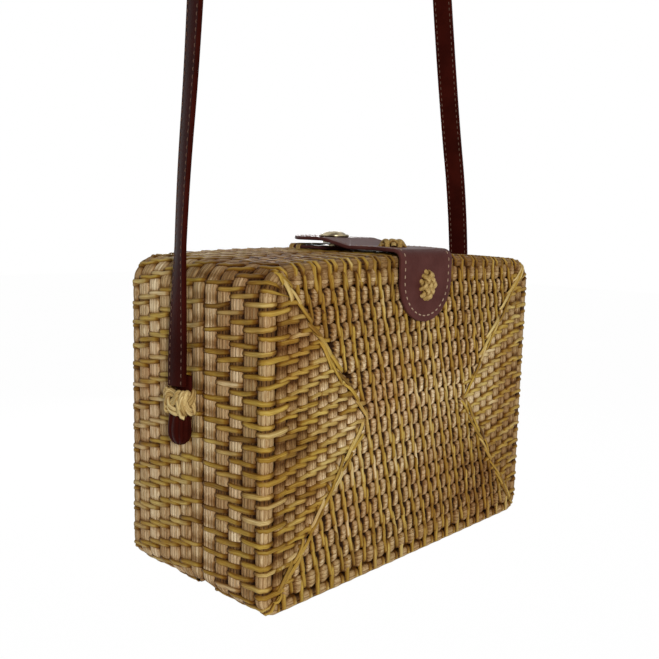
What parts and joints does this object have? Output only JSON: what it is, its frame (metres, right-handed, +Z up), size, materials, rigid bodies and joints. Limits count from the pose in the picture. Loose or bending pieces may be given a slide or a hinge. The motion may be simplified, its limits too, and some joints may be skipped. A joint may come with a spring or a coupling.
{
  "type": "woven cane handbag",
  "caption": "Box-shaped handbag of coiled woven cane that opens like a clam shell, with a leather closure flap, a domed snap, cane knots and a long leather shoulder strap.",
  "frame": {"origin": "on the base surface, in the middle of the bag's width and depth", "axes": "+X to the bag's right as seen from the front, along its width; +Y towards the back, along its depth; +Z up; the front with the closure tab faces -Y"},
  "size_m": [0.2188, 0.1005, 0.5534],
  "materials": {
    "cane": "woven cane with a satin skin",
    "pale_cane": "split cane, satin",
    "rod": "round cane, satin",
    "lining": "plain cotton",
    "leather": "smooth leather, semi-gloss",
    "snap": "antique brass"
  },
  "bodies": {
    "back": {"back_shell": "cane", "back_rim": "rod", "back_lining": "lining", "hinge_binding_left": "pale_cane", "hinge_binding_right": "pale_cane", "back_tongue": "leather", "tongue_lashing": "pale_cane", "snap_stud": "snap", "strap": "leather", "strap_knot_left": "pale_cane", "strap_knot_right": "pale_cane", "strap_end_left": "leather", "strap_end_right": "leather"},
    "front": {"front_shell": "cane", "front_rim": "rod", "front_lining": "lining", "closure_tab": "leather", "front_knot": "pale_cane", "top_knot": "pale_cane"},
    "flap": {"closure_flap": "leather", "snap_cap": "snap", "snap_socket": "snap"}
  },
  "joints": [
    {"name": "front_swing", "type": "hinge", "parent": "back", "child": "front", "pos_m": [0, -0.00965, 0.0036], "axis": [1, 0, 0], "range_deg": [0, 90]},
    {"name": "flap_lift", "type": "hinge", "parent": "front", "child": "flap", "pos_m": [0, -0.016, 0.1502], "axis": [1, 0, 0], "range_deg": [0, 100]}
  ]
}
